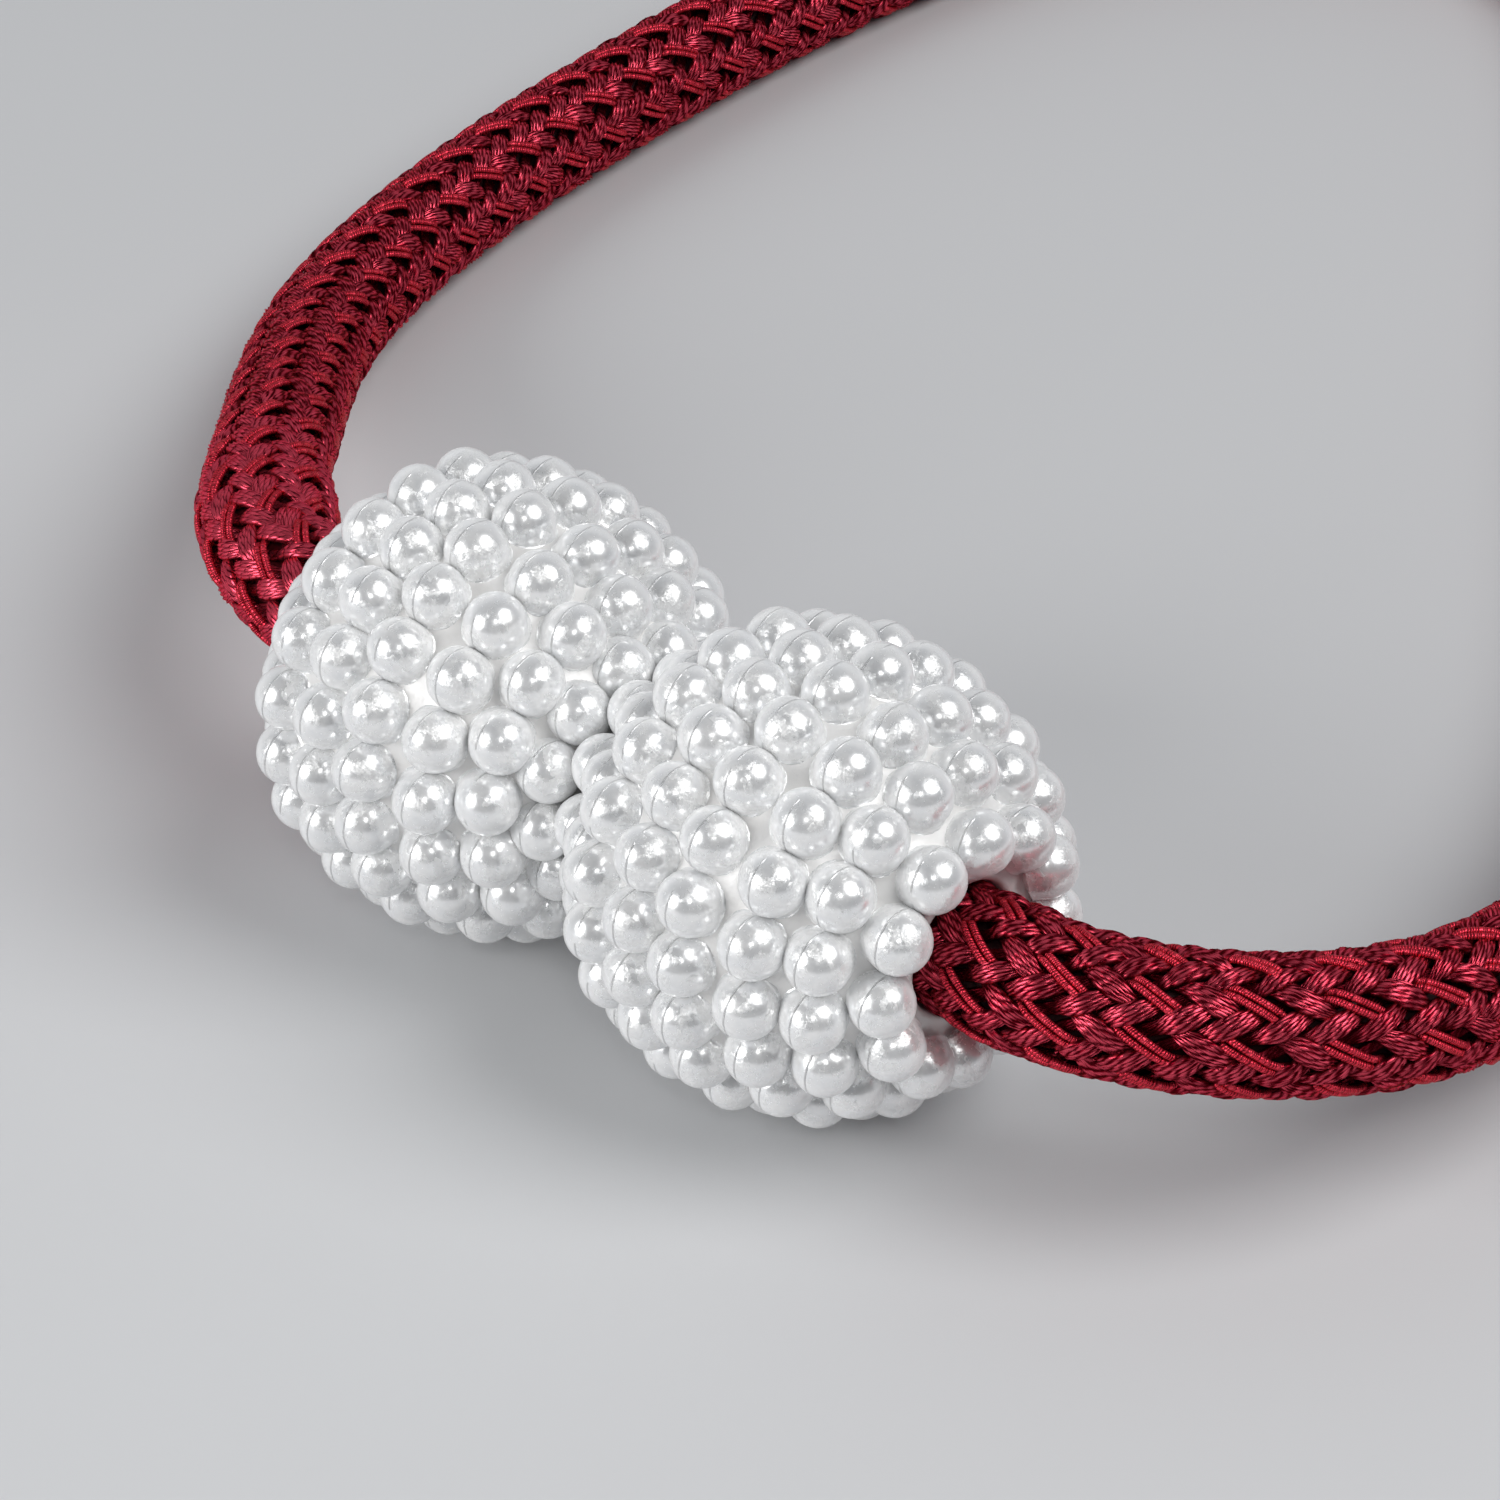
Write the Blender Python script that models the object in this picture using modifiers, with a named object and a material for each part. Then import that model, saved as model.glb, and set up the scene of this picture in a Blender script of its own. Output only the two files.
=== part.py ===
# Magnetic curtain tieback: two beaded balls that meet face to face, joined by
# one round braided cord that lies behind them in an open loop.
# Units are metres, +Z is up.  The origin is on the resting surface, midway
# between the two balls, and +X runs along the line through both balls.

import math

import bpy
import numpy as np
from mathutils import Vector

MM = 0.001

# ---- balls -----------------------------------------------------------------
BEAD_D = 5.0 * MM            # one moulded bead
BALL_R = 19.1 * MM           # ball's radius across the bead tips, at its waist
BALL_LONG_R = 20.9 * MM      # the same along the ball's axis, before the ends are cut flat
BALL_FLATNESS = 2.06         # exponent of the section, 2 is an ellipse
OUTER_END = 16.9 * MM        # waist to the flat end that the cord enters
CONTACT_END = 16.6 * MM      # waist to the flat end that meets the other ball
CONTACT_GAP = 0.3 * MM       # between the two contact ends
END_ROUND = 1.6 * MM         # rounding between each flat end and the curved side
REST_FLAT = 0.25 * MM        # depth of the small flat spot that each ball lies on
SOCKET_R = 5.6 * MM          # hole in the outer end, which holds the cord
SOCKET_DEPTH = 3.0 * MM
SOCKET_LEAD = 0.5 * MM       # chamfer at the hole's mouth
BALL_STEPS = 48              # facets around a ball
SIDE_POINTS = 17             # profile points along a ball's curved side

BALL_Z = BALL_R - REST_FLAT                     # height of the balls' axis
BALL_X = CONTACT_END + 0.5 * CONTACT_GAP        # half the distance between waists

# ---- cord ------------------------------------------------------------------
CORD_D = 10.4 * MM
CORD_END_GAP = 0.3 * MM      # between the cord's end and the bottom of its hole
CORD_LIE = 5.3 * MM          # height of the centre line where the cord lies flat
CORD_POINT_EVERY = 1.0       # spacing of the spline's points, in cord diameters
CORD_STRAIGHT = 4.2 * MM     # the cord's straight end, mostly inside its hole
CORD_END_X = BALL_X + OUTER_END - SOCKET_DEPTH + CORD_END_GAP

# Centre line from the left ball's hole round to the right ball's, in mm.
# The cord leaves each hole level, droops to the surface and lies there.
ROUTE = (
    # place                     x       y      z
    ("leaving left ball",     -46.0,   2.7,  18.4),
    ("drooping, left",        -58.7,  14.0,  16.0),
    ("drooping, left",        -71.8,  28.2,  11.4),
    ("touching down, left",   -86.0,  46.6,   6.7),
    ("lying, left side",      -94.7,  69.0,   5.3),
    ("lying, left side",      -98.9,  94.0,   5.3),
    ("lying, left side",     -101.0, 122.0,   5.3),
    ("far bend",              -99.5, 149.0,   5.3),
    ("far bend",              -90.5, 173.0,   5.3),
    ("far bend",              -71.7, 187.5,   5.3),
    ("far bend",              -49.4, 186.5,   5.3),
    ("lying, right side",     -29.0, 170.0,   5.3),
    ("lying, right side",      -6.0, 140.0,   5.3),
    ("lying, right side",      17.0, 109.0,   5.3),
    ("lifting, right",         37.5,  80.0,   5.6),
    ("rising, right",          52.0,  55.0,   8.9),
    ("rising, right",          59.7,  33.0,  14.2),
    ("rising, right",          57.0,  12.9,  18.0),
    ("entering right ball",    46.7,   2.9,  18.9),
)


def clear_scene():
    for obj in list(bpy.data.objects):
        bpy.data.objects.remove(obj, do_unlink=True)


def make_collection(name):
    coll = bpy.data.collections.new(name)
    bpy.context.scene.collection.children.link(coll)
    return coll


def make_material(name, color, roughness, metallic=0.0, coat=0.0, sheen=0.0):
    mat = bpy.data.materials.new(name)
    mat.use_nodes = True
    bsdf = mat.node_tree.nodes["Principled BSDF"]
    bsdf.inputs["Base Color"].default_value = (*color, 1.0)
    bsdf.inputs["Roughness"].default_value = roughness
    bsdf.inputs["Metallic"].default_value = metallic
    bsdf.inputs["Coat Weight"].default_value = coat
    bsdf.inputs["Sheen Weight"].default_value = sheen
    mat.diffuse_color = (*color, 1.0)
    return mat


def side_radius(z):
    """Radius of the ball's curved side at height z along its own axis."""
    n = BALL_FLATNESS
    return BALL_R * max(0.0, 1.0 - (abs(z) / BALL_LONG_R) ** n) ** (1.0 / n)


def rounded_corner(z_end, sign):
    """Points that round the corner between a flat end and the curved side.

    The corner starts on the side, END_ROUND below the end, and finishes on
    the end itself, the same distance in from the side.
    """
    z0 = z_end - END_ROUND
    start = Vector((side_radius(z0), z0))
    end = Vector((side_radius(z_end) - END_ROUND, z_end))
    corner = Vector((side_radius(z_end), z_end))
    pts = []
    for k in range(1, 4):
        t = k / 4.0
        p = start * (1 - t) ** 2 + corner * (2 * t * (1 - t)) + end * t ** 2
        pts.append((p.x, sign * p.y))
    pts.append((end.x, sign * end.y))
    return pts


def ball_profile():
    """Half section of a ball, from the hole's bottom over the outside to the
    contact face.  Local +Z points out of the hole."""
    top = OUTER_END
    pts = [(0.0, top - SOCKET_DEPTH), (SOCKET_R, top - SOCKET_DEPTH)]
    pts += [(SOCKET_R, top - SOCKET_LEAD), (SOCKET_R + SOCKET_LEAD, top)]
    pts += reversed(rounded_corner(OUTER_END, 1.0))
    high, low = OUTER_END - END_ROUND, -(CONTACT_END - END_ROUND)
    a_high, a_low = math.asin(high / BALL_LONG_R), math.asin(low / BALL_LONG_R)
    for k in range(SIDE_POINTS):
        a = a_high + (a_low - a_high) * k / (SIDE_POINTS - 1)
        z = BALL_LONG_R * math.sin(a)
        pts.append((side_radius(z), z))
    pts += rounded_corner(CONTACT_END, -1.0)
    pts.append((0.0, -CONTACT_END))
    return pts


def ball_mesh():
    pts = ball_profile()
    mesh = bpy.data.meshes.new("ball_half_section")
    mesh.from_pydata([(r, 0.0, z) for r, z in pts],
                     [(k, k + 1) for k in range(len(pts) - 1)], [])
    return mesh


def make_floor_cutter(coll):
    """A flat block whose top is the resting surface; it shaves the flat spots."""
    deep = 6.0 * MM
    bpy.ops.mesh.primitive_cube_add(size=1.0, location=(0.0, 0.0, -0.5 * deep))
    cutter = bpy.context.active_object
    cutter.name = "resting_surface_cutter"
    cutter.scale = (110.0 * MM, 60.0 * MM, deep)
    for other in list(cutter.users_collection):
        other.objects.unlink(cutter)
    coll.objects.link(cutter)
    cutter.hide_render = True
    cutter.display_type = "WIRE"
    return cutter


def make_ball(name, mesh, coll, cutter, x, turn, material):
    ball = bpy.data.objects.new(name, mesh)
    coll.objects.link(ball)
    ball.location = (x, 0.0, BALL_Z)
    # local +Z, out of the hole, is turned to face away from the other ball
    ball.rotation_euler = (0.0, math.radians(90.0), turn)
    screw = ball.modifiers.new("turned", "SCREW")
    screw.axis = "Z"
    screw.angle = math.tau
    screw.steps = BALL_STEPS
    screw.render_steps = BALL_STEPS
    screw.use_merge_vertices = True
    screw.merge_threshold = 0.00002
    screw.use_smooth_shade = True
    shave = ball.modifiers.new("resting flat", "BOOLEAN")
    shave.operation = "DIFFERENCE"
    shave.solver = "EXACT"
    shave.object = cutter
    ball.data.materials.clear()
    ball.data.materials.append(material)
    return ball


def natural_spline(points, start_dir, end_dir, count):
    """A cubic spline through points, with its end directions given, read at
    count places evenly spaced along its chord length."""
    p = np.array(points, dtype=float)
    h = np.linalg.norm(np.diff(p, axis=0), axis=1)
    d = np.concatenate([[0.0], np.cumsum(h)])
    n = len(p)
    left, right = np.zeros((n, n)), np.zeros((n, 3))
    left[0, 0], left[0, 1] = 2 * h[0], h[0]
    left[-1, -1], left[-1, -2] = 2 * h[-1], h[-1]
    right[0] = 6 * ((p[1] - p[0]) / h[0] - np.array(start_dir))
    right[-1] = 6 * (np.array(end_dir) - (p[-1] - p[-2]) / h[-1])
    for k in range(1, n - 1):
        left[k, k - 1], left[k, k], left[k, k + 1] = h[k - 1], 2 * (h[k - 1] + h[k]), h[k]
        right[k] = 6 * ((p[k + 1] - p[k]) / h[k] - (p[k] - p[k - 1]) / h[k - 1])
    m = np.linalg.solve(left, right)
    s = np.linspace(0.0, d[-1], count)
    k = np.clip(np.searchsorted(d, s, side="right") - 1, 0, n - 2)
    a, b, hk = (d[k + 1] - s)[:, None], (s - d[k])[:, None], h[k][:, None]
    return ((m[k] * a ** 3 + m[k + 1] * b ** 3) / (6 * hk)
            + (p[k] / hk - m[k] * hk / 6) * a + (p[k + 1] / hk - m[k + 1] * hk / 6) * b)


def even_points(line, spacing):
    """Points at equal steps along a finely sampled line."""
    seg = np.linalg.norm(np.diff(line, axis=0), axis=1)
    s = np.concatenate([[0.0], np.cumsum(seg)])
    count = max(2, int(round(s[-1] / spacing)) + 1)
    want = np.linspace(0.0, s[-1], count)
    return np.stack([np.interp(want, s, line[:, k]) for k in range(3)], axis=1)


def cord_points():
    """The centre line: a straight end in each hole and a smooth loop between."""
    free_x = CORD_END_X + CORD_STRAIGHT
    through = [(x * MM, y * MM, z * MM) for _, x, y, z in ROUTE]
    loop = natural_spline([(-free_x, 0.0, BALL_Z), *through, (free_x, 0.0, BALL_Z)],
                          (-1, 0, 0), (-1, 0, 0), 4000)
    loop[:, 2] = np.maximum(loop[:, 2], CORD_LIE - 0.05 * MM)
    points = even_points(loop, CORD_POINT_EVERY * CORD_D)
    return [(-CORD_END_X, 0.0, BALL_Z), *map(tuple, points), (CORD_END_X, 0.0, BALL_Z)]


def make_cord(coll, material):
    points = cord_points()
    curve = bpy.data.curves.new("cord", "CURVE")
    curve.dimensions = "3D"
    curve.twist_mode = "MINIMUM"
    curve.bevel_depth = 0.5 * CORD_D
    curve.bevel_resolution = 4
    curve.use_fill_caps = True
    spline = curve.splines.new("POLY")
    spline.points.add(len(points) - 1)
    for point, co in zip(spline.points, points):
        point.co = (*co, 1.0)
    spline.use_smooth = True
    cord = bpy.data.objects.new("cord", curve)
    coll.objects.link(cord)
    curve.materials.append(material)
    return cord


def main():
    clear_scene()
    parts = make_collection("magnetic_curtain_tieback")
    cutters = make_collection("cutters")
    cutter = make_floor_cutter(cutters)

    pearl_left = make_material("pearl_left", (0.86, 0.87, 0.88), 0.2, coat=0.4)
    pearl_right = make_material("pearl_right", (0.86, 0.87, 0.88), 0.2, coat=0.4)
    crimson = make_material("crimson_braid", (0.42, 0.025, 0.06), 0.42, sheen=0.3)

    make_ball("ball_left", ball_mesh(), parts, cutter, -BALL_X, math.pi, pearl_left)
    make_ball("ball_right", ball_mesh(), parts, cutter, BALL_X, 0.0, pearl_right)
    make_cord(parts, crimson)


main()
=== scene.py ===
# Looks of the magnetic curtain tieback: two balls covered in moulded pearl
# beads that meet face to face, and one braided cord that joins their outer ends
# in an open loop.  Metres, +Z up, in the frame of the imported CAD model.

import math

import bpy
import numpy as np
from mathutils import Matrix, Vector


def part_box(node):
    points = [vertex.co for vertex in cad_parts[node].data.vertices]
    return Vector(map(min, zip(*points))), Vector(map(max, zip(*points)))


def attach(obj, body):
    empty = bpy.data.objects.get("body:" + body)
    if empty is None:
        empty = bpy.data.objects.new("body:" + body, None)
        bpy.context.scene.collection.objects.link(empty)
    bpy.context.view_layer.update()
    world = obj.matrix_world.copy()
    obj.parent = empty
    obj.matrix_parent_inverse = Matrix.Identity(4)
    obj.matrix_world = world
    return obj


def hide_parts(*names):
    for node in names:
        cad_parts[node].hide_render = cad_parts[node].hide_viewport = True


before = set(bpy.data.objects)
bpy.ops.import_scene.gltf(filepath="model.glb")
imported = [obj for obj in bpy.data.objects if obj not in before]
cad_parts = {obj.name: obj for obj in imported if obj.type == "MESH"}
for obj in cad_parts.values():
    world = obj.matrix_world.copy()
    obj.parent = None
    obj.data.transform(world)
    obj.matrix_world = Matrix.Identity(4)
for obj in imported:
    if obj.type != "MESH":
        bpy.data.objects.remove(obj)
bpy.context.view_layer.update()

MM = 0.001
TAU = 2.0 * math.pi

LEFT_LOW, LEFT_HIGH = (np.array(p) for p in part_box("ball_left"))
RIGHT_LOW, RIGHT_HIGH = (np.array(p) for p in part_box("ball_right"))
AXIS_Z = 0.01885                       # height of the balls' axis
LEFT_X = -0.01675                      # the balls' waists
RIGHT_X = 0.01675


# ============================================================== camera =====

AZIMUTH, ELEVATION = math.radians(43.5), math.radians(34.0)
DISTANCE = 430 * MM
LENS = 5633.0 * 36.0 / 1500.0

cam_right = np.array([math.cos(AZIMUTH), math.sin(AZIMUTH), 0.0])
cam_back = np.array([math.sin(AZIMUTH) * math.cos(ELEVATION),
                     -math.cos(AZIMUTH) * math.cos(ELEVATION),
                     math.sin(ELEVATION)])
cam_up = np.cross(cam_back, cam_right)
cam_target = np.array([0.0, 0.0, AXIS_Z]) + 7.53 * MM * cam_right + 2.23 * MM * cam_up
cam_place = cam_target + DISTANCE * cam_back

cam_data = bpy.data.cameras.new("camera")
cam_data.sensor_width = 36.0
cam_data.sensor_height = 36.0
cam_data.lens = LENS
cam_data.clip_start = 0.02
cam_data.clip_end = 20.0
camera = bpy.data.objects.new("camera", cam_data)
bpy.context.scene.collection.objects.link(camera)
camera.matrix_world = Matrix((
    (cam_right[0], cam_up[0], cam_back[0], cam_place[0]),
    (cam_right[1], cam_up[1], cam_back[1], cam_place[1]),
    (cam_right[2], cam_up[2], cam_back[2], cam_place[2]),
    (0.0, 0.0, 0.0, 1.0)))
bpy.context.scene.camera = camera


def seen_fraction(points):
    """How far each point is from the middle of the picture, where 1 is its
    edge: what lies past the edge gets a coarser mesh."""
    rel = points - cam_place
    depth = -(rel @ cam_back)
    half = depth * 18.0 / LENS
    return np.maximum(np.abs(rel @ cam_right), np.abs(rel @ cam_up)) / half


# ============================================================ the cord's line

CORD_LIE = 5.3 * MM
CORD_STRAIGHT = 4.2 * MM
CORD_END_X = 30.95 * MM
HIDDEN_END_X = 29.2 * MM            # the strands run on a little inside the holes

ROUTE = (
    # x      y      z      in mm, from the left ball's hole to the right ball's
    (-46.0,   2.7,  18.4),
    (-58.7,  14.0,  16.0),
    (-71.8,  28.2,  11.4),
    (-86.0,  46.6,   6.7),
    (-94.7,  69.0,   5.3),
    (-98.9,  94.0,   5.3),
    (-101.0, 122.0,  5.3),
    (-99.5, 149.0,   5.3),
    (-90.5, 173.0,   5.3),
    (-71.7, 187.5,   5.3),
    (-49.4, 186.5,   5.3),
    (-29.0, 170.0,   5.3),
    (-6.0,  140.0,   5.3),
    (17.0,  109.0,   5.3),
    (37.5,   80.0,   5.6),
    (52.0,   55.0,   8.9),
    (59.7,   33.0,  14.2),
    (57.0,   12.9,  18.0),
    (46.7,    2.9,  18.9),
)


def natural_spline(points, start_dir, end_dir, count):
    p = np.array(points, dtype=float)
    h = np.linalg.norm(np.diff(p, axis=0), axis=1)
    d = np.concatenate([[0.0], np.cumsum(h)])
    n = len(p)
    left, right = np.zeros((n, n)), np.zeros((n, 3))
    left[0, 0], left[0, 1] = 2 * h[0], h[0]
    left[-1, -1], left[-1, -2] = 2 * h[-1], h[-1]
    right[0] = 6 * ((p[1] - p[0]) / h[0] - np.array(start_dir))
    right[-1] = 6 * (np.array(end_dir) - (p[-1] - p[-2]) / h[-1])
    for k in range(1, n - 1):
        left[k, k - 1], left[k, k], left[k, k + 1] = h[k - 1], 2 * (h[k - 1] + h[k]), h[k]
        right[k] = 6 * ((p[k + 1] - p[k]) / h[k] - (p[k] - p[k - 1]) / h[k - 1])
    m = np.linalg.solve(left, right)
    s = np.linspace(0.0, d[-1], count)
    k = np.clip(np.searchsorted(d, s, side="right") - 1, 0, n - 2)
    a, b, hk = (d[k + 1] - s)[:, None], (s - d[k])[:, None], h[k][:, None]
    return ((m[k] * a ** 3 + m[k + 1] * b ** 3) / (6 * hk)
            + (p[k] / hk - m[k] * hk / 6) * a + (p[k + 1] / hk - m[k + 1] * hk / 6) * b)


def even_points(line, spacing):
    seg = np.linalg.norm(np.diff(line, axis=0), axis=1)
    s = np.concatenate([[0.0], np.cumsum(seg)])
    count = max(2, int(round(s[-1] / spacing)) + 1)
    want = np.linspace(0.0, s[-1], count)
    return np.stack([np.interp(want, s, line[:, k]) for k in range(3)], axis=1)


def unit(v):
    return v / np.maximum(np.linalg.norm(v, axis=-1, keepdims=True), 1e-12)


class CordLine:
    """The cord's centre line with a frame that doesn't twist along it."""

    def __init__(self):
        free_x = CORD_END_X + CORD_STRAIGHT
        loop = natural_spline(
            [(-free_x, 0.0, AXIS_Z), *(tuple(c * MM for c in p) for p in ROUTE),
             (free_x, 0.0, AXIS_Z)], (-1, 0, 0), (-1, 0, 0), 6000)
        loop[:, 2] = np.maximum(loop[:, 2], CORD_LIE - 0.05 * MM)
        line = np.vstack([[(-HIDDEN_END_X, 0.0, AXIS_Z)], loop, [(HIDDEN_END_X, 0.0, AXIS_Z)]])
        self.points = even_points(line, 0.5 * MM)
        smooth = self.points.copy()
        for _ in range(6):
            smooth[1:-1] = 0.25 * smooth[:-2] + 0.5 * smooth[1:-1] + 0.25 * smooth[2:]
        self.points = smooth
        seg = np.linalg.norm(np.diff(self.points, axis=0), axis=1)
        self.s = np.concatenate([[0.0], np.cumsum(seg)])
        self.length = float(self.s[-1])
        self.tangent = unit(np.gradient(self.points, axis=0))
        normal = np.zeros_like(self.points)
        n = np.array([0.0, 0.0, 1.0])
        for k, t in enumerate(self.tangent):
            n = n - t * float(n @ t)
            n = n / np.linalg.norm(n)
            normal[k] = n
        self.normal = normal
        self.side = np.cross(self.tangent, self.normal)
        # the turn about the line, seen in that frame, of the inside of its bend
        bend = np.gradient(self.tangent, axis=0)
        for _ in range(40):
            bend[1:-1] = 0.25 * bend[:-2] + 0.5 * bend[1:-1] + 0.25 * bend[2:]
        self.inside = np.unwrap(np.arctan2(np.sum(bend * self.side, axis=1),
                                           np.sum(bend * self.normal, axis=1)))

    def at(self, s):
        def read(values):
            return np.stack([np.interp(s, self.s, values[:, k]) for k in range(3)], axis=1)
        return read(self.points), unit(read(self.normal)), unit(read(self.side))


cord_line = CordLine()


# ============================================================ mesh helpers ==

def new_object(name, verts, quads=(), tris=(), ngons=(), smooth=True):
    """An object from arrays of corners."""
    mesh = bpy.data.meshes.new(name)
    loops, starts, totals = [], [], []
    at = 0
    for faces, size in ((quads, 4), (tris, 3)):
        faces = np.asarray(faces, dtype=np.int32).reshape(-1, size)
        loops.append(faces.ravel())
        starts.append(at + size * np.arange(len(faces), dtype=np.int32))
        totals.append(np.full(len(faces), size, dtype=np.int32))
        at += faces.size
    for face in ngons:
        loops.append(np.asarray(face, dtype=np.int32))
        starts.append(np.array([at], dtype=np.int32))
        totals.append(np.array([len(face)], dtype=np.int32))
        at += len(face)
    loops, starts, totals = (np.concatenate(x) for x in (loops, starts, totals))
    mesh.vertices.add(len(verts))
    mesh.vertices.foreach_set("co", np.asarray(verts, dtype=np.float32).ravel())
    mesh.loops.add(len(loops))
    mesh.loops.foreach_set("vertex_index", loops)
    mesh.polygons.add(len(starts))
    mesh.polygons.foreach_set("loop_start", starts)
    mesh.polygons.foreach_set("loop_total", totals)
    mesh.polygons.foreach_set("use_smooth", np.full(len(starts), smooth))
    mesh.update(calc_edges=True)
    mesh.validate()
    obj = bpy.data.objects.new(name, mesh)
    bpy.context.scene.collection.objects.link(obj)
    return obj


def add_values(obj, name, values, kind="FLOAT"):
    """A named value, or vector, at each corner point of the mesh."""
    layer = obj.data.attributes.new(name, kind, "POINT")
    key = "vector" if kind == "FLOAT_VECTOR" else "value"
    layer.data.foreach_set(key, np.asarray(values, dtype=np.float32).ravel())


def wander(rng, s, size, wavelength, count=4):
    """Slow irregularity along a length: a few sines of mixed wavelength."""
    out = np.zeros_like(s)
    for _ in range(count):
        length = wavelength * rng.uniform(0.6, 1.9)
        out += np.sin(TAU * (s / length + rng.uniform())) * rng.uniform(0.4, 1.0)
    return size * out / (0.7 * math.sqrt(count / 2.0) * 1.4)


# ================================================================= braid ====

CARRIERS = 16                   # strands that turn each way
LEAN = 0.65                     # a strand's sideways run for each step along the cord
OUT_R = 5.2 * MM
ROUND = TAU * OUT_R
CROSSING = ROUND / (2 * CARRIERS * LEAN)      # from one crossing to the next
MID_R = 4.28 * MM               # strands' mean radius
LIFT = 0.53 * MM                # how far they rise and dive from it
SILK_HALF = 0.38 * MM           # half a silk bundle's thickness
YARN_RISE = 0.17 * MM           # how far each yarn stands out of its bundle
GIMP_D = 0.58 * MM
GIMP_SHIFT = -0.40 * MM          # each pair lies against one of its neighbours
CORE_R = 3.68 * MM
BRAID_TURN = 0.0                # turns the whole braid about the cord, radians
BRAID_SHIFT = 0.0               # and shifts it along, in crossings


def over_under(u, bias=0.0, square=1.15):
    """+1 where a strand floats over, -1 where it dives, over two, under two.
    A stiff strand has a bias: it stays up longer than it dives."""
    c = np.cos(TAU * u / 4.0) + bias
    low, high = math.tanh(square * (bias - 1.0)), math.tanh(square * (bias + 1.0))
    return 2.0 * (np.tanh(square * c) - low) / (high - low) - 1.0


BUNCH_AT, BUNCH_LONG, BUNCH = 24.0, 7.0, 0.26      # mm, mm and part of the radius


def cord_swell(s, angle=None):
    """The cord is gripped in its holes, swells just outside them, and bunches
    on the inside of its tight bend by the left ball."""
    end = np.minimum(s, cord_line.length - s) / MM
    grip = 1.0 / (1.0 + np.exp((end - 4.2) / 0.5))
    swell = np.exp(-((end - 8.5) / 3.5) ** 2)
    size = 1.0 - 0.05 * grip + 0.03 * swell
    if angle is not None:
        inner = np.maximum(0.0, np.cos(angle - np.interp(s, cord_line.s, cord_line.inside)))
        size = size + BUNCH * inner * np.exp(-((s / MM - BUNCH_AT) / BUNCH_LONG) ** 2)
    return size


def bend_painted_light(s):
    """1 near the left ball, falling to 0 beyond it: there the strands and the
    core are painted lighter and shinier, painted light for the bright bend."""
    return 1.0 / (1.0 + np.exp((s / MM - 33.0) / 2.5))


def strand_frame(s, angle, radius):
    """Centre, direction, outward and sideways directions of a strand."""
    p, n, b = cord_line.at(s)
    out = n * np.cos(angle)[:, None] + b * np.sin(angle)[:, None]
    centre = p + out * radius[:, None]
    along = unit(np.gradient(centre, axis=0))
    out = unit(out - along * np.sum(out * along, axis=1, keepdims=True))
    return centre, along, out, np.cross(along, out)


class Sweep:
    """Many strands swept in one mesh, each a closed tube with flat ends."""

    def __init__(self, name):
        self.name = name
        self.verts, self.quads, self.ngons = [], [], []
        self.yarn_u, self.yarn_v, self.rand, self.high, self.edge = [], [], [], [], []
        self.painted_bend_light = []
        self.count = 0

    def add(self, centre, out, side, across, rise, u, v, rand, high, edge=0.0, painted_bend_light=None):
        """across and rise are (rings, points): places in each ring's plane.
        u runs round the ring, v along the strand; edge is 1 at its sides."""
        rings, points = across.shape
        verts = (centre[:, None, :] + side[:, None, :] * across[:, :, None]
                 + out[:, None, :] * rise[:, :, None]).reshape(-1, 3)
        base = self.count
        idx = base + np.arange(rings * points).reshape(rings, points)
        a = idx[:-1, :]
        b = np.roll(idx, -1, axis=1)[:-1, :]
        c = np.roll(idx, -1, axis=1)[1:, :]
        d = idx[1:, :]
        self.verts.append(verts)
        self.quads.append(np.stack([a, d, c, b], axis=-1).reshape(-1, 4))
        self.ngons.append(idx[0, :])
        self.ngons.append(idx[-1, ::-1])
        self.yarn_u.append(np.broadcast_to(u, (rings, points)).ravel())
        self.yarn_v.append(np.broadcast_to(v[:, None], (rings, points)).ravel())
        self.rand.append(np.full(rings * points, rand))
        self.high.append(np.broadcast_to(high[:, None], (rings, points)).ravel())
        self.edge.append(np.broadcast_to(edge, (rings, points)).ravel())
        # painted light: how far each ring's colour is painted lighter by the left ball
        painted_bend_light = np.zeros(rings) if painted_bend_light is None else painted_bend_light
        self.painted_bend_light.append(np.broadcast_to(painted_bend_light[:, None], (rings, points)).ravel())
        self.count += rings * points

    def finish(self, seam_u):
        """seam_u is u's full turn, so the last column closes without a jump."""
        verts = np.concatenate(self.verts)
        quads = np.concatenate(self.quads)
        obj = new_object(self.name, verts, quads=quads, ngons=self.ngons)
        mesh = obj.data
        corner = np.zeros(len(mesh.loops), dtype=np.int32)
        mesh.loops.foreach_get("vertex_index", corner)
        u = np.concatenate(self.yarn_u)[corner]
        v = np.concatenate(self.yarn_v)[corner]
        n_quad = 4 * len(quads)
        q = u[:n_quad].reshape(-1, 4)
        wrap = (q.max(axis=1) - q.min(axis=1)) > 0.5 * seam_u
        fixed = np.where(wrap[:, None] & (q < 0.5 * seam_u), q + seam_u, q)
        u[:n_quad] = fixed.ravel()
        layer = mesh.uv_layers.new(name="yarn")
        layer.data.foreach_set("uv", np.stack([u, v], axis=1).astype(np.float32).ravel())
        add_values(obj, "strand", np.concatenate(self.rand))
        add_values(obj, "float_high", np.concatenate(self.high))
        add_values(obj, "strand_edge", np.concatenate(self.edge))
        add_values(obj, "bend_painted_light", np.concatenate(self.painted_bend_light))
        return obj


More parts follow.
